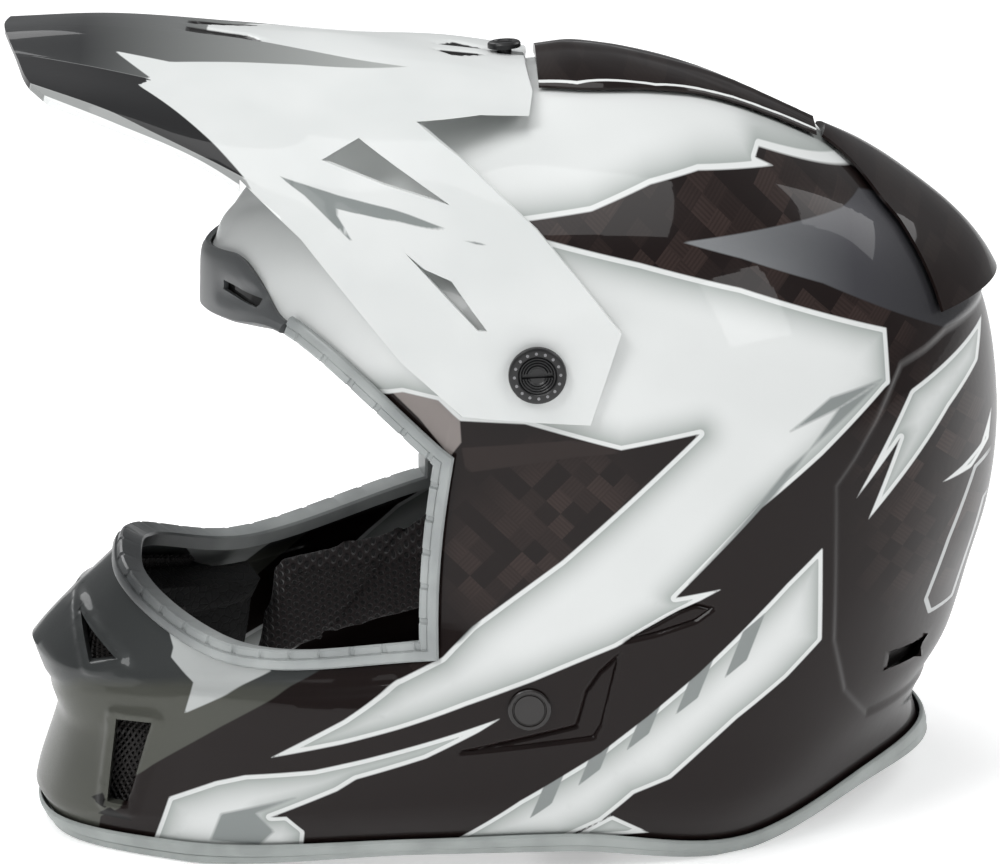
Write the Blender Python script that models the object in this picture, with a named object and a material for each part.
"""Motocross helmet: a full-face shell with a tilting peak, its trims, vents, liners, pads and chin strap.

Frame: the helmet faces -Y, its left side is +X and +Z is up. The origin is the middle of the bounding
box's base, so the helmet stands on z = 0. Lengths in this file are millimetres until a mesh is made.
"""

import math

import bmesh
import bpy
import numpy as np
from mathutils import Vector

MM = 0.001
LEFT, RIGHT = 1, -1
SIDES = (("left", LEFT), ("right", RIGHT))
MIRROR = np.array([-1.0, 1.0, 1.0])

# ---------------------------------------------------------------- driving dimensions, mm

GAP = 0.4                   # clearance between parts that touch
SHELL_WALL = 3.0
LINER_GAP = 1.4             # between the shell's inside and what is bonded to it
PAD_CLEARANCE = 5.8         # between the liner and the crown pad
LINER_WALL = 27.0
COMFORT_WALL = 8.0
PAD_GAP = 8.0               # between the shell's inside and the cheek pads, where the studs and straps are

PIVOT = (13.0, 189.0)       # y, z of the peak's side screws
PEAK_WALL = 2.4
PEAK_FACE = 127.1           # outer face of the peak's legs, from the middle
SIDE_SCREW_RADIUS = 9.8
SIDE_SCREW_HEAD = 2.4
SHANK_RADIUS = 3.0
BORE_RADIUS = 3.5

TOP_SCREW_Y = 9.5
TOP_SCREW_RADIUS = 6.0
PEAK_TAIL_TOP = 277.8       # height of the peak's tail under the top screw's head

ANCHOR = (4.0, 68.0)        # y, z of the strap anchors
ANCHOR_RADIUS = 7.4

STRAP_WIDTH = 22.0
STRAP_WALL = 1.6
RING_WIRE = 1.9             # radius of the D-rings' wire

ROUND = 24                  # sides of a round part

# ---------------------------------------------------------------- shell surface

# Sections of the left half from the base up, each with eight stations round the helmet: front, nose,
# corner, port, side, heel, quarter and rear. Each station is (x, y, z).
SHELL_SECTIONS = {
    "base": ((0, -177, 4), (31, -171, 3.7), (67, -127, 3.1), (100, -36, 12), (105, 16, 12),
             (91, 77, 2.9), (64, 122, 15), (0, 152, 13)),
    "skirt": ((0, -182, 13), (33, -174, 13), (72, -125, 18), (111, -34, 30), (113, 20, 30),
              (105, 78, 24), (75, 120, 30), (0, 149, 26)),
    "crease": ((0, -171, 43), (31, -165, 43), (74, -118, 46), (115, -31, 50), (117, 28, 52),
               (111, 82, 50), (84, 127, 55), (0, 165, 56)),
    "chin": ((0, -179, 68), (27, -171, 67), (74, -114, 66), (117, -30, 69), (120, 32, 72),
             (115, 86, 72), (90, 131, 78), (0, 173, 80)),
    "rim": ((0, -142, 102), (24, -140, 98), (67, -107, 81), (110, -30, 89), (122, 34, 96),
            (118, 90, 96), (94, 136, 103), (0, 181, 105)),
    "brow": ((0, -103, 194), (45, -90, 196), (80, -72, 199), (111, -21, 156), (124, 38, 152),
             (120, 92, 150), (94, 140, 152), (0, 185, 142)),
    "forehead": ((0, -101, 213), (45, -84, 216), (85, -55, 219), (116, -10, 196), (122, 40, 193),
                 (114, 90, 190), (86, 136, 190), (0, 176, 190)),
    "shoulder": ((0, -82, 237), (38, -68, 240), (68, -42, 241), (97, -4, 231), (104, 42, 228),
                 (98, 84, 225), (74, 124, 222), (0, 150, 220)),
    "crown": ((0, -44, 259), (22, -36, 260), (42, -16, 260), (60, 8, 259), (64, 36, 257),
              (60, 68, 254), (44, 96, 249), (0, 110, 246)),
    "top": ((0, 2, 270), (9, 6, 270), (16, 14, 270), (22, 24, 270), (23, 33, 270),
            (20, 44, 269), (13, 54, 268), (0, 58, 267)),
}
SHELL_TOP = (0, 30, 271.5)
FRONT, NOSE, CORNER, PORT, SIDE, HEEL, QUARTER, REAR = range(8)
BASE, SKIRT, CREASE, CHIN, RIM, BROW, FOREHEAD, SHOULDER, CROWN, TOP, POLE = range(11)

# Sections of the left half of the peak from its tip to behind the legs, each with five stations from
# the middle out: middle, spine, shoulder, flange and edge.
PEAK_SECTIONS = (
    ((0, -169, 298), (12, -168, 298), (35, -162, 291), (62, -155, 286), (72, -148, 282)),
    ((0, -136, 298), (14, -135, 297), (42, -132, 287), (76, -126, 277), (81, -126, 273)),
    ((0, -88, 291), (20, -87, 290), (60, -90, 277), (89, -94, 263), (93, -93, 258)),
    ((0, -45, 286), (26, -45, 283), (76, -52, 264), (101, -64, 243), (105, -64, 234)),
    ((0, -14, 280), (30, -12, 279), (84, -20, 261), (113, -33, 220), (119, -35, 190)),
    ((0, 20, 275), (34, 20, 272), (86, 14, 256), (123.8, 8, 208), (126.3, -4, 165)),
    ((0, 60, 270), (40, 60, 264), (92, 54, 243), (124.8, 48, 205), (126.3, 50, 160)),
)


def steps(first, last, count):
    return np.linspace(first, last, count + 1)


def slopes(points, before, after):
    """Slope at each point per unit of chord, for a smooth curve through the points."""
    line = np.concatenate([[before], points, [after]])
    moves = line[1:] - line[:-1]
    chord = np.maximum(np.linalg.norm(moves, axis=-1, keepdims=True), 1e-9)
    slope = moves / chord
    return (slope[1:] * chord[:-1] + slope[:-1] * chord[1:]) / (chord[1:] + chord[:-1])


def smooth_curve(points, before, after, at):
    """The curve through `points` at the parameters `at`, which are 0 at the first point and 1 at the next.

    `before` and `after` are where the curve comes from and goes to. Where the points are rows of points,
    each column is a curve of its own."""
    points = np.asarray(points, float)
    slope = slopes(points, before, after)
    at = np.clip(np.asarray(at, float), 0, len(points) - 1)
    start = np.minimum(at.astype(int), len(points) - 2)
    t = (at - start).reshape((-1,) + (1,) * (points.ndim - 1))
    first, last = points[start], points[start + 1]
    reach = np.linalg.norm(last - first, axis=-1, keepdims=True)
    leaving = slope[start] * reach * t * (1 - t) ** 2
    arriving = slope[start + 1] * reach * t**2 * (1 - t)
    return first * (1 + 2 * t) * (1 - t) ** 2 + last * t**2 * (3 - 2 * t) + leaving - arriving


def ring_curve(ring, corner, at):
    """A section of the shell, which runs on across the mirror plane. It may turn a corner at a station."""
    ring = np.asarray(ring, float)
    at = np.asarray(at, float)
    start, end = ring[1] * MIRROR, ring[-2] * MIRROR
    if corner is None:
        return smooth_curve(ring, start, end, at)
    head = smooth_curve(ring[: corner + 1], start, 2 * ring[corner] - ring[corner - 1], at)
    tail = smooth_curve(ring[corner:], 2 * ring[corner] - ring[corner + 1], end, at - corner)
    return np.where(at[:, None] <= corner, head, tail)


def shell_points(us, vs):
    """Points of the shell's outer surface at stations `us`, negative on the right, and sections `vs`."""
    us, vs = np.asarray(us, float), np.asarray(vs, float)
    rings = []
    for name, ring in SHELL_SECTIONS.items():
        rings.append(ring_curve(ring, PORT if name == "brow" else None, abs(us)))
    rings.append(np.broadcast_to(np.array(SHELL_TOP, float), rings[0].shape))
    rings = np.array(rings)
    grid = smooth_curve(rings, 2 * rings[0] - rings[1], 2 * rings[-1] - rings[-2], vs).swapaxes(0, 1)
    grid[..., 0] *= np.where(us < 0, -1, 1)[:, None]
    return grid


def shell_sheet(us, vs, depth=0.0):
    """The shell's surface moved inwards by `depth`, which may differ from point to point."""
    us, vs = np.asarray(us, float), np.asarray(vs, float)
    step = 0.02
    along = shell_points(us + step, vs) - shell_points(us - step, vs)
    along[abs(us) > REAR - step] = (-1, 0, 0)
    up = shell_points(us, np.minimum(vs + step, POLE - step)) - shell_points(us, np.maximum(vs - step, 0))
    inward = np.cross(up, along)
    inward[np.isin(abs(us), (FRONT, REAR)), :, 0] = 0
    inward /= np.maximum(np.linalg.norm(inward, axis=-1, keepdims=True), 1e-12)
    inward[:, vs >= POLE] = (0, 0, -1)
    return shell_points(us, vs) + inward * np.broadcast_to(depth, (len(us), len(vs)))[..., None]


def shell_columns(us, lows, highs, count, depths):
    """A grid under the shell whose columns run between sections of their own, at a depth of their own."""
    columns = []
    for u, low, high, depth in zip(us, lows, highs, np.broadcast_to(depths, len(us))):
        columns.append(shell_sheet([u], steps(low, high, count), depth)[0])
    return np.array(columns)


def peak_points(us, vs):
    """Points of the peak's outer surface at stations `us`, negative on the right, and sections `vs`."""
    us = np.asarray(us, float)
    rows = []
    for row in PEAK_SECTIONS:
        row = np.asarray(row, float)
        rows.append(smooth_curve(row, row[1] * MIRROR, 2 * row[-1] - row[-2], abs(us)))
    rows = np.array(rows)
    grid = smooth_curve(rows, 2 * rows[0] - rows[1], 2 * rows[-1] - rows[-2], vs).swapaxes(0, 1)
    grid[..., 0] *= np.where(us < 0, -1, 1)[:, None]
    return grid


# ---------------------------------------------------------------- Blender helpers


def collection(name):
    made = bpy.data.collections.new(name)
    bpy.context.scene.collection.children.link(made)
    return made


def material(name, colour, roughness, metallic=0.0):
    made = bpy.data.materials.new(name)
    made.use_nodes = True
    shader = made.node_tree.nodes["Principled BSDF"]
    shader.inputs["Base Color"].default_value = (*colour, 1)
    shader.inputs["Roughness"].default_value = roughness
    shader.inputs["Metallic"].default_value = metallic
    made.diffuse_color = (*colour, 1)
    return made


def add_object(name, mesh, look, group):
    made = bpy.data.objects.new(name, mesh)
    group.objects.link(made)
    if look is not None:
        mesh.materials.append(look)
    mesh.shade_smooth()
    mesh.set_sharp_from_angle(angle=math.radians(40))
    return made


def mesh_from(name, build):
    """A mesh from the bmesh that `build` fills in millimetres, with its doubles merged, in metres."""
    form = bmesh.new()
    build(form)
    bmesh.ops.remove_doubles(form, verts=form.verts, dist=1e-3)
    bmesh.ops.delete(form, geom=[v for v in form.verts if not v.link_faces], context="VERTS")
    bmesh.ops.scale(form, vec=(MM, MM, MM), verts=form.verts)
    bmesh.ops.recalc_face_normals(form, faces=form.faces)
    mesh = bpy.data.meshes.new(name)
    form.to_mesh(mesh)
    form.free()
    return mesh


def grid_faces(columns, rows, keep=None, loop=False):
    """Corner numbers of the quads of a grid of points, column by column, leaving out what isn't kept."""
    faces = []
    for i in range(columns if loop else columns - 1):
        for j in range(rows - 1):
            if keep is None or keep[i, j]:
                a, b = i * rows + j, (i + 1) % columns * rows + j
                faces.append((a, b, b + 1, a + 1))
    return faces


def closed_sheet(name, outer, inner, keep=None, loop=False):
    """A closed mesh between two grids of points, joined round every free edge."""
    faces = grid_faces(*outer.shape[:2], keep, loop)
    edges = {(face[k], face[(k + 1) % 4]) for face in faces for k in range(4)}
    free = [(a, b) for a, b in edges if (b, a) not in edges]
    count = outer.shape[0] * outer.shape[1]

    def build(form):
        verts = [form.verts.new(p) for p in np.concatenate([outer.reshape(-1, 3), inner.reshape(-1, 3)])]
        for face in faces:
            form.faces.new([verts[k] for k in face])
            form.faces.new([verts[k + count] for k in reversed(face)])
        for a, b in sorted(free):
            form.faces.new([verts[k] for k in (b, a, a + count, b + count)])

    return mesh_from(name, build)


def swept(name, rings, loop=False):
    """A closed mesh through rings of points: capped at its ends, or joined up as a loop."""
    rings = np.asarray(rings, float)
    count, sides = rings.shape[:2]

    def build(form):
        verts = [[form.verts.new(p) for p in ring] for ring in rings]
        for i in range(count if loop else count - 1):
            ring, after = verts[i], verts[(i + 1) % count]
            for k in range(sides):
                form.faces.new((ring[k], ring[(k + 1) % sides], after[(k + 1) % sides], after[k]))
        if not loop:
            form.faces.new(verts[0])
            form.faces.new(verts[-1])

    return mesh_from(name, build)


def prism(name, outline, near, far):
    """A block whose outline is drawn in the side view, as (y, z), between two distances from the middle."""
    return swept(name, [[(x, y, z) for y, z in outline] for x in (near, far)])


def turned(name, profile, place, axis, bored=False):
    """A round part spun about `axis` through `place`, from a profile of (distance along the axis, radius).

    The profile's ends run straight in to the axis or, in a bored part, join each other."""
    turn = Vector((0, 0, 1)).rotation_difference(Vector(axis)).to_matrix()
    line = profile if bored else ((profile[0][0], 0), *profile, (profile[-1][0], 0))

    def build(form):
        verts = [form.verts.new(Vector(place) + turn @ Vector((radius, 0, along))) for along, radius in line]
        ends = verts[1:] + verts[:1] if bored else verts[1:]
        edges = [form.edges.new(pair) for pair in zip(verts, ends)]
        bmesh.ops.spin(form, geom=verts + edges, cent=place, axis=turn @ Vector((0, 0, 1)),
                       angle=2 * math.pi, steps=ROUND)

    return mesh_from(name, build)


def ring_part(name, near, far, bore, radius, place, axis=(1, 0, 0)):
    """A flat ring between two distances along an axis."""
    profile = ((near, bore), (far, bore), (far, radius), (near, radius))
    return turned(name, profile, place, axis, bored=True)


def wire_loop(name, points, radius, look):
    """A closed loop of round wire through the points."""
    data = bpy.data.curves.new(name, "CURVE")
    data.dimensions = "3D"
    data.bevel_depth = radius * MM
    data.bevel_resolution = 2
    spline = data.splines.new("POLY")
    spline.points.add(len(points) - 1)
    for target, point in zip(spline.points, points):
        target.co = (*(Vector(point) * MM), 1)
    spline.use_cyclic_u = True
    data.materials.append(look)
    parts.objects.link(bpy.data.objects.new(name, data))


def modify(obj, kind, name, **settings):
    modifier = obj.modifiers.new(name, kind)
    for key, value in settings.items():
        setattr(modifier, key, value)
    return modifier


def cut(obj, mesh, operation="DIFFERENCE"):
    """Cuts the object with a hidden cutter made of the mesh."""
    cutter = add_object(mesh.name, mesh, None, cutters)
    cutter.hide_render = True
    cutter.display_type = "WIRE"
    modify(obj, "BOOLEAN", "cut " + mesh.name, object=cutter, operation=operation, solver="EXACT")


def surface_frame(u, v):
    """Point, outward normal and upward direction of the shell's surface at one station and section."""
    point = shell_sheet([u], [v])[0, 0]
    normal = point - shell_sheet([u], [v], 1.0)[0, 0]
    up = shell_points([u], [v + 0.02])[0, 0] - shell_points([u], [v - 0.02])[0, 0]
    return point, normal, up / np.linalg.norm(up)


def shell_at(y, z):
    """Station and section of the left shell surface that the side view shows at (y, z)."""
    u, v = 4.0, 4.0
    step = 0.01
    for _ in range(30):
        here = shell_points([u], [v])[0, 0, 1:]
        by_u = (shell_points([u + step], [v])[0, 0, 1:] - here) / step
        by_v = (shell_points([u], [v + step])[0, 0, 1:] - here) / step
        move = np.linalg.solve(np.array([by_u, by_v]).T, np.array([y, z]) - here)
        u, v = np.clip([u + np.clip(move[0], -1, 1), v + np.clip(move[1], -1, 1)], 0.1, 9.5)
    return u, v


# ---------------------------------------------------------------- shell

SHELL_COLUMNS = np.array((0, 0.5, 1, 1.5, 2, 2.5, 3, 3.5, 4, 4.5, 5, 5.5, 6, 6.25, 6.5, 6.75, 7))
SHELL_ROWS = np.array((0, 0.5, 1, 1.5, 2, 2.5, 3, 3.5, 4, 4.33, 4.67, 5, 5.33, 5.67, 6, 6.5, 7, 7.5, 8, 8.5,
                       9, 9.5, 10))

# Outlines in the side view, as (y, z).
CHIN_VENT_UPPER = ((-158, 83), (-143, 72), (-154, 69))
CHIN_VENT_LOWER = ((-145, 51), (-131, 52), (-143, 19), (-151, 19))
REAR_SLOT = ((133, 67), (149, 65), (147, 59), (132, 61))


def all_round(stations):
    """Stations round the whole helmet from those of its left half."""
    return np.concatenate([stations, -stations[-2:0:-1]])


def shell_part(look):
    """The outer shell, lofted through its sections and open at the eye port and the base."""
    columns, rows = all_round(SHELL_COLUMNS), SHELL_ROWS
    beside = np.minimum(abs(columns), abs(np.roll(columns, -1)))
    port = (beside[:, None] < PORT) & (rows[None, :] >= RIM) & (rows[None, :] < BROW)
    grids = [shell_sheet(columns, rows, depth) for depth in (0, SHELL_WALL)]
    shell = add_object("shell", closed_sheet("shell", *grids, ~port, loop=True), look, parts)
    for label, outline in (("upper", CHIN_VENT_UPPER), ("lower", CHIN_VENT_LOWER)):
        for side, sign in SIDES:
            cut(shell, prism(f"chin_vent_{label}_{side}_hole", outline, 15 * sign, 100 * sign))
    for side, sign in SIDES:
        cut(shell, prism(f"rear_slot_{side}_hole", REAR_SLOT, 50 * sign, 95 * sign))
        for label, (y, z) in (("pivot", PIVOT), ("anchor", ANCHOR)):
            profile = ((-20, BORE_RADIUS), (20, BORE_RADIUS))
            cut(shell, turned(f"{label}_{side}_bore", profile, (115 * sign, y, z), (1, 0, 0)))
    cut(shell, turned("top_bore", ((-12, BORE_RADIUS), (12, BORE_RADIUS)), (0, TOP_SCREW_Y, 268), (0, 0, 1)))


# ---------------------------------------------------------------- trims

TRIM_GAP = 1.2


def strip_rings(us, vs, section, loop=False):
    """Rings of an edge strip's section along a line on the shell's surface, mitred where the line bends.

    The section is points of (height over the surface, distance past the shell's edge), where past the edge
    is to the right of the line, seen from outside."""
    frames = [surface_frame(u, v) for u, v in zip(us, vs)]
    points = [point for point, _, _ in frames]
    rings = []
    for k, (point, normal, _) in enumerate(frames):
        before = points[k - 1] if k or loop else 2 * point - points[k + 1]
        after = points[(k + 1) % len(points)] if k < len(points) - 1 or loop else 2 * point - points[k - 1]
        sides = []
        for way in (point - before, after - point):
            side = np.cross(way, normal)
            sides.append(side / np.linalg.norm(side))
        past = (sides[0] + sides[1]) / (1 + sides[0] @ sides[1])
        rings.append([point + normal * height + past * distance for height, distance in section])
    return rings


def channel(height, lip, cover, inside):
    """A rubber channel over the shell's edge: outer leg, lip past the edge and inner leg."""
    back = -SHELL_WALL - 2 * TRIM_GAP
    return (
        (height, -cover), (height + 0.4, lip - 0.8), (height - 0.4, lip), (back - 1.2, lip),
        (back - 1.6, -inside), (back, -inside), (back, TRIM_GAP), (TRIM_GAP, TRIM_GAP), (TRIM_GAP, -cover),
    )


def base_trim(look):
    """The rubber channel round the base edge, pressed flat where the helmet stands on it."""
    us = all_round(SHELL_COLUMNS)
    rings = strip_rings(us, [BASE] * len(us), channel(2.5, 3.2, 5.5, 5.0), loop=True)
    trim = add_object("base_trim", swept("base_trim", rings, loop=True), look, parts)
    cut(trim, prism("ground", ((-250, -20), (250, -20), (250, 0), (-250, 0)), -150, 150))


BROW_FRAME_END = 2.0        # station where the brow frame ends and the eye-port trim begins
BROW_GRIP = 4.0             # how far the frame's inner leg reaches up behind the shell


def port_line():
    """Stations and sections of the eye port's edge, from the left brow round the chin to the right brow."""
    brow = np.array((BROW_FRAME_END + 0.03, 2.5, PORT))
    rear = np.array((4.67, 4.33))
    chin = SHELL_COLUMNS[SHELL_COLUMNS <= PORT][::-1]
    us = np.concatenate([brow, [PORT] * len(rear), chin])
    vs = np.concatenate([[BROW] * len(brow), rear, [RIM] * len(chin)])
    return np.concatenate([us, -us[-2::-1]]), np.concatenate([vs, vs[-2::-1]])


def eyeport_trim(look):
    us, vs = port_line()
    rings = strip_rings(us, vs, channel(2.5, 2.6, 4.6, 3.0))
    add_object("eyeport_trim", swept("eyeport_trim", rings), look, parts)


def brow_frame_top(u):
    """Section where the brow frame's outer leg ends: tall in the middle and low beside the eye port."""
    rise = np.clip((BROW_FRAME_END - abs(u)) / 1.3, 0, 1)
    return BROW + 0.08 + 0.94 * rise**2 * (3 - 2 * rise)


def brow_vent(look):
    """The moulding over the middle of the brow. It grips the shell's edge and has a slot on each side."""
    half = np.array((0, 0.5, 1, 1.5, BROW_FRAME_END))
    rings = []
    for u in np.concatenate([-half[:0:-1], half]):
        point, normal, up = surface_frame(u, BROW)
        heights = steps(BROW, brow_frame_top(u), 3)
        proud = 1.9 + 1.3 * (1 - abs(u) / BROW_FRAME_END)
        outer = shell_sheet([u], heights, -np.array([proud + 0.6, proud + 0.4, proud, GAP + 1.0]))[0]
        inner = shell_sheet([u], heights, -GAP)[0]
        back = -SHELL_WALL - GAP
        lip = ((proud + 0.4, 2.4), (proud - 0.4, 3.0), (back - 1.2, 3.0), (back - 1.6, -BROW_GRIP),
               (back, -BROW_GRIP), (back, GAP))
        edge = [point + normal * height - up * past for height, past in lip]
        rings.append([*outer[::-1], *edge, inner[0] - up * GAP, *inner[1:]])
    frame = add_object("brow_vent", swept("brow_vent", rings), look, parts)
    for side, sign in SIDES:
        columns = sign * steps(0.7, 1.45, 3)
        lows = 5.36 - 0.2 * steps(0, 1, 3)
        grids = [shell_columns(columns, lows, lows + 0.17, 1, depth) for depth in (-8, -0.1)]
        cut(frame, closed_sheet(f"brow_slot_{side}", *grids))


# ---------------------------------------------------------------- vents


def patch(name, look, us, vs, outer, inner):
    """A part that follows the shell's surface between two depths under it."""
    us, vs = np.asarray(us, float), np.asarray(vs, float)
    mesh = closed_sheet(name, shell_sheet(us, vs, outer), shell_sheet(us, vs, inner))
    return add_object(name, mesh, look, parts)


def vent_meshes(look):
    """The mesh inserts bonded behind the chin bar's openings, and the louvres behind the rear slots."""
    outer = SHELL_WALL + LINER_GAP + 1.4
    inserts = (
        ("chin_mesh_upper", steps(0.85, 1.7, 3), steps(2.95, 3.8, 3), 1.0),
        ("chin_mesh_lower", steps(1.15, 1.95, 3), steps(0.95, 2.45, 4), 1.0),
        ("rear_louvre", steps(5.95, 6.45, 3), steps(1.95, 2.75, 3), 1.5),
    )
    for label, us, vs, wall in inserts:
        for side, sign in SIDES:
            patch(f"{label}_{side}", look, sign * us, vs, outer, outer + wall)


FILTER_HALF = 32.0
FILTER_FRONT = -142.0       # y of the mouth filter's middle
FILTER_BEND = 65.0          # how far out a point's x squared is divided by to give how far it bends back


def mouth_filter(look):
    """The curved breath filter behind the chin bar's foam."""
    grids = []
    for wall in (0.0, 2.5):
        columns = []
        for x in steps(-FILTER_HALF, FILTER_HALF, 8):
            y = FILTER_FRONT + x**2 / FILTER_BEND + wall
            columns.append([(x, y, z) for z in steps(24, 64, 3)])
        grids.append(np.array(columns))
    add_object("mouth_filter", closed_sheet("mouth_filter", *grids), look, parts)


# ---------------------------------------------------------------- liners and pads


def liner_bottom(us, low, high):
    """Section where a liner ends: high over the eye port and the cheek pads, low at the back."""
    back = np.clip((abs(us) - 5.0) / 0.6, 0, 1)
    return high + (low - high) * back**2 * (3 - 2 * back)


def dome(name, look, outer, inner, low, high, rows):
    """A liner inside the crown, from its bottom edge up to the top."""
    half = np.array((0, 0.5, 1, 1.5, 2, 2.5, 3, 3.5, 4, 4.5, 5, 5.5, 6, 6.5, 7))
    us = all_round(half)
    bottoms = liner_bottom(us, low, high)
    tops = np.full(len(us), POLE)
    grids = [shell_columns(us, bottoms, tops, rows, depth) for depth in (outer, inner)]
    return add_object(name, closed_sheet(name, *grids, loop=True), look, parts)


def eps_liner(look):
    outer = SHELL_WALL + LINER_GAP
    liner = dome("eps_liner", look, outer, outer + LINER_WALL, 2.85, 5.2, 9)
    for side, sign in SIDES:
        pocket = turned(f"insert_{side}_pocket", ((-14, 9.5), (14, 9.5)), (112 * sign, *PIVOT), (1, 0, 0))
        cut(liner, pocket)
    cut(liner, turned("top_insert_pocket", ((-10, 8.5), (12, 8.5)), (0, TOP_SCREW_Y, 262), (0, 0, 1)))


def crown_pad(look):
    outer = SHELL_WALL + LINER_GAP + LINER_WALL + PAD_CLEARANCE
    dome("crown_pad", look, outer, outer + COMFORT_WALL, 3.3, 5.75, 7)


def neck_roll(look):
    us = np.concatenate([steps(5.3, 6.8, 4), [7], -steps(6.8, 5.3, 4)])
    patch("neck_roll", look, us, steps(0.35, 2.3, 4), SHELL_WALL + 7, SHELL_WALL + 26)


def chin_foam(look):
    patch("chin_foam", look, steps(-2.05, 2.05, 10), steps(0.5, 3.7, 6), SHELL_WALL + 7, SHELL_WALL + 21)


def cheek_pads(look):
    """The pads between the jaw and the shell: low beside the chin bar, high behind the eye port."""
    us = np.array((2.15, 2.4, 2.65, 2.9, 3.15, 3.4, 3.8, 4.2, 4.6, 4.95))
    behind = np.clip((us - 2.85) / 0.45, 0, 1)
    tops = 3.75 + 1.3 * behind**2 * (3 - 2 * behind)
    thickness = 14 + 19 * np.clip((us - 2.15) / 1.2, 0, 1)
    bottoms = np.full(len(us), 0.95)
    front = SHELL_WALL + PAD_GAP
    for side, sign in SIDES:
        name = f"cheek_pad_{side}"
        outer = shell_columns(sign * us, bottoms, tops, 7, front)
        inner = shell_columns(sign * us, bottoms, tops, 7, front + thickness)
        add_object(name, closed_sheet(name, outer, inner), look, parts)


def cheek_studs(look):
    """The snap studs on the shell's inside that hold the cheek pads."""
    for label, u in (("front", 3.25), ("rear", 4.5)):
        for side, sign in SIDES:
            point, normal, _ = surface_frame(sign * u, 2.35)
            profile = ((-4.5, 3.0), (-1.2, 3.4), (-1.2, 6.0), (0, 6.0))
            place = point - normal * (SHELL_WALL + LINER_GAP)
            name = f"cheek_stud_{label}_{side}"
            add_object(name, turned(name, profile, place, normal), look, parts)


# ---------------------------------------------------------------- crown fin and spoiler

# Sections of the fin from front to back: (y, half width, height over the shell).
FIN_SECTIONS = ((20.5, 35, 4.5), (34, 38, 5.0), (62, 32, 3.5), (90, 20, 3.5), (108, 15, 3.0), (120, 13, 3.0))
# Sections of the spoiler from its top to its lip: (section of the shell, station of its edge, height).
SPOILER_SECTIONS = ((7.72, 6.78, 2.0), (7.25, 6.45, 2.5), (6.8, 6.37, 3.5), (6.35, 6.33, 4.5), (5.9, 6.3, 5.0))
COVER_GAP = 1.5             # under the covers, whose facets are longer than the shell's
ACROSS = np.array((-1, -0.85, -0.5, 0, 0.5, 0.85, 1))


def shell_height(x, y):
    """Height of the shell's outer surface over the point (x, y), near the crown."""
    grid = shell_points(steps(0, REAR, 70), steps(FOREHEAD, POLE, 60)).reshape(-1, 3)
    away = (grid[:, 0] - abs(x)) ** 2 + (grid[:, 1] - y) ** 2
    near = np.argsort(away)[:6]
    weight = 1 / (away[near] + 0.05)
    return float((grid[near, 2] * weight).sum() / weight.sum())


def crown_fin(look):
    """The spine along the crown, from behind the peak to the step before the spoiler."""
    outer, inner = [], []
    for y, half, height in FIN_SECTIONS:
        floor = [shell_height(t * half, y) + COVER_GAP for t in ACROSS]
        inner.append([(t * half, y, z) for t, z in zip(ACROSS, floor)])
        outer.append([(t * half, y, z + 0.8 + height * (1 - t**2) ** 0.6) for t, z in zip(ACROSS, floor)])
    mesh = closed_sheet("crown_fin", np.array(outer), np.array(inner))
    add_object("crown_fin", mesh, look, parts)


def rear_spoiler(look):
    """The second cover of the spine, which widens behind the step and ends in a lip."""
    outer, inner = [], []
    for v, edge, height in SPOILER_SECTIONS:
        us = [math.copysign(REAR - (REAR - edge) * abs(t), t) for t in ACROSS]
        rise = [COVER_GAP + 1 + height * (1 - t**2) for t in ACROSS]
        outer.append([shell_sheet([u], [v], -up)[0, 0] for u, up in zip(us, rise)])
        inner.append([shell_sheet([u], [v], -COVER_GAP)[0, 0] for u in us])
    mesh = closed_sheet("rear_spoiler", np.array(outer), np.array(inner))
    add_object("rear_spoiler", mesh, look, parts)


# ---------------------------------------------------------------- peak

# Outline of the peak in the side view, as (y, z), from the tip along the lower edge and back over the top.
PEAK_OUTLINE = (
    (-200, 330), (-200, 270), (-84, 240), (-84, 255), (-64, 235), (-49, 215), (-33, 194), (-13, 175), (30, 170),
    (42, 201), (29, 218), (16, 234), (4, 245), (-9, 257), (-23, 267), (-1, 267), (16, 265), (18, 270), (16, 276),
    (16, 330),
)
PEAK_HOLES = (
    ((-56, 258), (-43, 263.5), (-26, 252), (-13, 243), (-35, 250)),
    ((-29, 229), (-23, 224), (-14, 220), (-3, 204), (-6, 204)),
)
NOTCH_HALF = 3.3            # half width of the notch in the tail, which slides past the top screw


def peak_part(look):
    """The peak: a sheet lofted through its sections, cut to its outline and pierced."""
    us = np.array((0, 0.5, 1, 1.5, 2, 2.5, 3, 3.33, 3.67, 4))
    columns = np.concatenate([-us[:0:-1], us])
    rows = steps(0, len(PEAK_SECTIONS) - 1, 14)
    outer = peak_points(columns, rows)
    inward = np.cross(np.gradient(outer, axis=1), np.gradient(outer, axis=0))
    inward /= np.linalg.norm(inward, axis=-1, keepdims=True)
    peak = add_object("peak", closed_sheet("peak", outer, outer + inward * PEAK_WALL), look, parts)
    cut(peak, prism("peak_outline", PEAK_OUTLINE, -140, 140), "INTERSECT")
    for k, outline in enumerate(PEAK_HOLES):
        for side, sign in SIDES:
            cut(peak, prism(f"peak_hole_{k}_{side}", outline, 50 * sign, 140 * sign))
    for side, sign in SIDES:
        bore = ((-15, BORE_RADIUS), (15, BORE_RADIUS))
        cut(peak, turned(f"peak_{side}_bore", bore, (122 * sign, *PIVOT), (1, 0, 0)))
    notch = [(-NOTCH_HALF, 40), (-NOTCH_HALF, TOP_SCREW_Y)]
    for angle in steps(0, math.pi, 6)[1:-1]:
        notch.append((-NOTCH_HALF * math.cos(angle), TOP_SCREW_Y - NOTCH_HALF * math.sin(angle)))
    notch += [(NOTCH_HALF, TOP_SCREW_Y), (NOTCH_HALF, 40)]
    cut(peak, swept("peak_notch", [[(x, y, z) for x, y in notch] for z in (260, 300)]))


# ---------------------------------------------------------------- peak hardware


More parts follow.
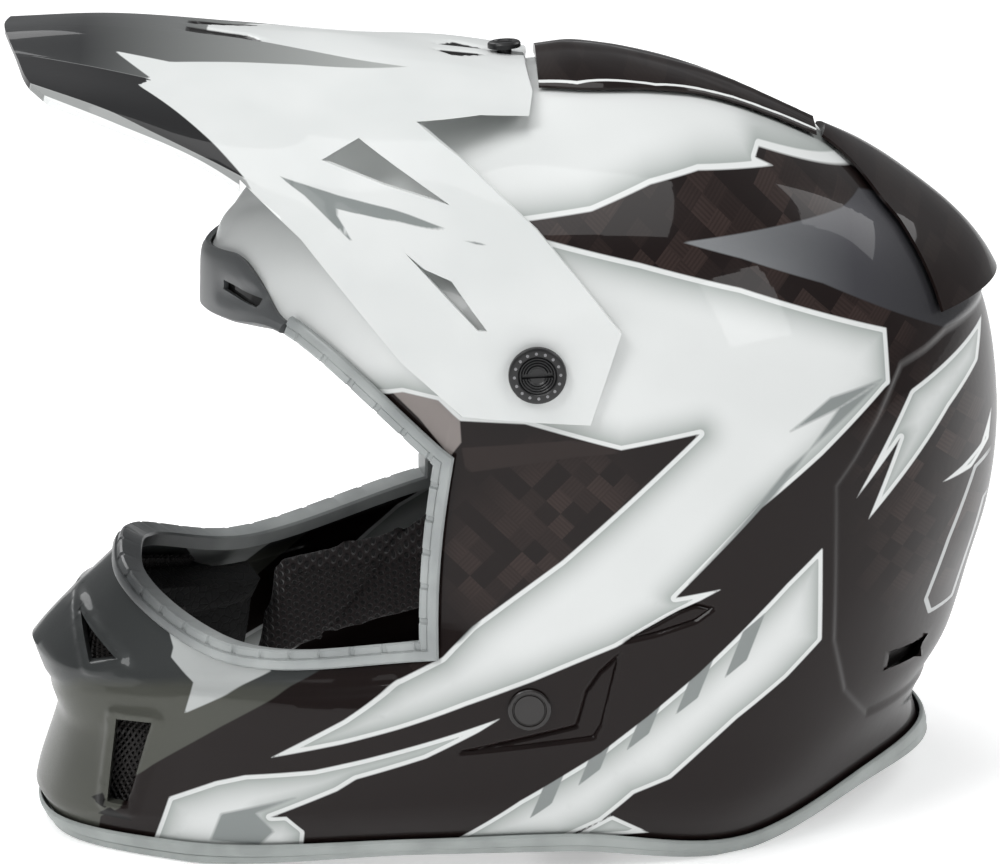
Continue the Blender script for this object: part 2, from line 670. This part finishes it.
def shell_side(y, z, radius=0.0):
    """Furthest distance of the shell's left side from the middle within a radius of (y, z)."""
    reach = [(0, 0), (radius, 0), (-radius, 0), (0, radius), (0, -radius)]
    return max(surface_frame(*shell_at(y + dy, z + dz))[0][0] for dy, dz in reach)


def side_screws(look):
    """The screws through the peak's legs, each with a coin slot in a recessed head."""
    y, z = PIVOT
    inner_end = shell_side(y, z) - 9
    face = PEAK_FACE + GAP
    top = face + SIDE_SCREW_HEAD
    profile = ((inner_end, SHANK_RADIUS), (face, SHANK_RADIUS), (face, SIDE_SCREW_RADIUS),
               (top - 0.8, SIDE_SCREW_RADIUS), (top, 8.8), (top, 6.8), (top - 0.9, 6.2))
    slot = ((y - 4.6, z - 0.9), (y + 4.6, z - 0.9), (y + 4.6, z + 0.9), (y - 4.6, z + 0.9))
    for side, sign in SIDES:
        name = f"side_screw_{side}"
        form = turned(name, [(sign * along, radius) for along, radius in profile], (0, y, z), (1, 0, 0))
        screw = add_object(name, form, look, parts)
        cut(screw, prism(f"coin_slot_{side}", slot, sign * (face + 0.5), sign * (face + 5)))


def side_washers(look):
    y, z = PIVOT
    inner = shell_side(y, z, 7.0) + 0.3
    outer = PEAK_FACE - PEAK_WALL - 0.9
    for side, sign in SIDES:
        name = f"side_washer_{side}"
        add_object(name, ring_part(name, sign * inner, sign * outer, 3.4, 6.6, (0, y, z)), look, parts)


def side_inserts(look):
    """The threaded plates bonded inside the shell at the peak's pivots."""
    y, z = PIVOT
    front = shell_side(y, z) - SHELL_WALL - 3.0
    for side, sign in SIDES:
        name = f"side_insert_{side}"
        add_object(name, ring_part(name, sign * (front - 1.8), sign * front, 3.4, 8.5, (0, y, z)), look, parts)


def top_screw(look):
    """The screw that clamps the peak's tail, which slides under its head as the peak tilts."""
    head = PEAK_TAIL_TOP + GAP
    end = shell_height(0, TOP_SCREW_Y) - 8
    profile = ((end, 2.6), (head, 2.6), (head, TOP_SCREW_RADIUS), (head + 1.6, TOP_SCREW_RADIUS),
               (head + 2.4, 4.6))
    screw = add_object("top_screw", turned("top_screw", profile, (0, TOP_SCREW_Y, 0), (0, 0, 1)), look, parts)
    slot = ((TOP_SCREW_Y - 3.6, head + 1.3), (TOP_SCREW_Y + 3.6, head + 1.3),
            (TOP_SCREW_Y + 3.6, head + 5), (TOP_SCREW_Y - 3.6, head + 5))
    cut(screw, prism("top_coin_slot", slot, -0.7, 0.7))


def top_insert(look):
    top = shell_height(0, TOP_SCREW_Y) - SHELL_WALL - 1.2
    form = ring_part("top_insert", top - 2, top, 3.0, 7.5, (0, TOP_SCREW_Y, 0), (0, 0, 1))
    add_object("top_insert", form, look, parts)


# ---------------------------------------------------------------- chin strap

PLATE_WALL = 1.2
PLATE_GAP = 1.6             # between the flat plate and the curved shell
RIVET_CAP = 1.5
RING_BAR = (33.0, 17.0)     # x, z of the upper D-ring's bar
RING_PITCH = 4.4            # drop from the upper bar to the lower one
RING_REACH = 22.0
RING_WIDTH = 29.0

# Centre lines of the webbing in the XZ plane at the anchors' y, from where it clears the cheek pads.
UNDER_PADS = ((110, 45), (107.5, 34), (102.5, 25.5), (94, 21.5), (75, 20.2))
SHORT_LOOP = ((52, 20), (36, 20.3), (30.4, 19.4), (28.6, 14.8), (30.4, 10.2), (36, 9.3), (52, 9.6), (60, 12))
LONG_FOLD = ((40, 19), (4, 18), (-2.6, 16.9), (-4.6, 14.2), (-2.6, 11.5), (4, 10.4), (44, 11))
SNAP_X, SNAP_TOP = -38.0, 9.3


def ribbon(name, path, sign):
    """Webbing along a path of (x, z), as wide as the strap along Y."""
    path = np.array(path, float) * (sign, 1)
    forward = np.gradient(path, axis=0)
    forward /= np.linalg.norm(forward, axis=-1, keepdims=True)
    aside = np.stack([-forward[:, 1], forward[:, 0]], axis=-1) * STRAP_WALL / 2
    near, far = ANCHOR[0] - STRAP_WIDTH / 2, ANCHOR[0] + STRAP_WIDTH / 2
    rings = []
    for (x1, z1), (x2, z2) in zip(path + aside, path - aside):
        rings.append([(x1, near, z1), (x1, far, z1), (x2, far, z2), (x2, near, z2)])
    return swept(name, rings)


def strap_start():
    """Centre line of the webbing beside its anchor."""
    x = shell_side(*ANCHOR) - SHELL_WALL - PLATE_GAP - PLATE_WALL - GAP - STRAP_WALL / 2
    return ((x, ANCHOR[1] + 10), (x, ANCHOR[1]), (x, ANCHOR[1] - 10))


def straps(look):
    """The short strap ends in a loop round the D-rings' bars. The long one is folded back on itself."""
    for name, sign, end in (("strap_short", LEFT, SHORT_LOOP), ("strap_long", RIGHT, LONG_FOLD)):
        strap = add_object(name, ribbon(name, strap_start() + UNDER_PADS + end, sign), look, parts)
        bore = turned(f"{name}_bore", ((-12, BORE_RADIUS), (12, BORE_RADIUS)), (110 * sign, *ANCHOR), (1, 0, 0))
        cut(strap, bore)


def strap_anchors(rivet_look, plate_look):
    """Each anchor is a rivet through the shell, a steel plate inside it and the webbing's end."""
    y, z = ANCHOR
    side_x = shell_side(y, z)
    plate = side_x - SHELL_WALL - PLATE_GAP
    web_back = plate - PLATE_WALL - GAP - STRAP_WALL
    face = shell_side(y, z, ANCHOR_RADIUS) + 0.3
    tail = web_back - GAP
    cap = face + RIVET_CAP
    profile = ((tail - 1.2, 5.5), (tail, 5.5), (tail, SHANK_RADIUS), (face, SHANK_RADIUS),
               (face, ANCHOR_RADIUS), (cap - 0.5, ANCHOR_RADIUS), (cap, ANCHOR_RADIUS - 1))
    for side, sign in SIDES:
        name = f"strap_rivet_{side}"
        form = turned(name, [(sign * along, radius) for along, radius in profile], (0, y, z), (1, 0, 0))
        add_object(name, form, rivet_look, parts)
        name = f"strap_plate_{side}"
        form = ring_part(name, sign * (plate - PLATE_WALL), sign * plate, BORE_RADIUS, 9.0, (0, y, z))
        add_object(name, form, plate_look, parts)


def d_rings(look):
    """Two D-shaped wire rings, one above the other, with their bars in the short strap's loop."""
    x, z = RING_BAR
    half = RING_WIDTH / 2
    for k, label in enumerate(("upper", "lower")):
        height = z - k * RING_PITCH
        points = [(x, ANCHOR[0] + t * half, height) for t in (-0.86, -0.3, 0.3, 0.86)]
        for angle in steps(0.5, math.pi - 0.5, 8):
            reach = RING_REACH * math.sin(angle)
            points.append((x - reach, ANCHOR[0] + half * math.cos(angle), height))
        wire_loop(f"d_ring_{label}", points, RING_WIRE, look)


def strap_snap(look):
    """The snap on the long strap that keeps its free end back."""
    profile = ((SNAP_TOP - 1.3, 5.0), (SNAP_TOP - 0.2, 6.0), (SNAP_TOP, 6.0))
    form = turned("strap_snap", profile, (SNAP_X, ANCHOR[0], 0), (0, 0, 1))
    add_object("strap_snap", form, look, parts)


# ---------------------------------------------------------------- scene

for old in list(bpy.data.objects):
    bpy.data.objects.remove(old)

parts = collection("motocross_helmet")
cutters = collection("cutters")

paint = material("painted_shell", (0.05, 0.045, 0.043), 0.15)
rubber = material("grey_rubber", (0.3, 0.32, 0.32), 0.6)
silver = material("silver_rubber", (0.55, 0.57, 0.57), 0.45)
dark = material("dark_plastic", (0.08, 0.08, 0.085), 0.5)
black = material("black_gloss", (0.015, 0.013, 0.013), 0.2)
foam = material("foam", (0.12, 0.12, 0.12), 0.9)
fabric = material("black_fabric", (0.02, 0.02, 0.02), 0.95)
white = material("white_plastic", (0.8, 0.82, 0.8), 0.25)
steel = material("steel", (0.6, 0.6, 0.6), 0.3, 1.0)
webbing = material("strap_webbing", (0.03, 0.03, 0.03), 0.85)

shell_part(paint)
base_trim(rubber)
eyeport_trim(silver)
brow_vent(dark)
vent_meshes(dark)
mouth_filter(dark)
eps_liner(foam)
crown_pad(fabric)
neck_roll(fabric)
chin_foam(foam)
cheek_pads(fabric)
cheek_studs(steel)
crown_fin(black)
rear_spoiler(black)
peak_part(white)
side_screws(dark)
side_washers(dark)
side_inserts(steel)
top_screw(dark)
top_insert(steel)
straps(webbing)
strap_anchors(black, steel)
d_rings(steel)
strap_snap(steel)
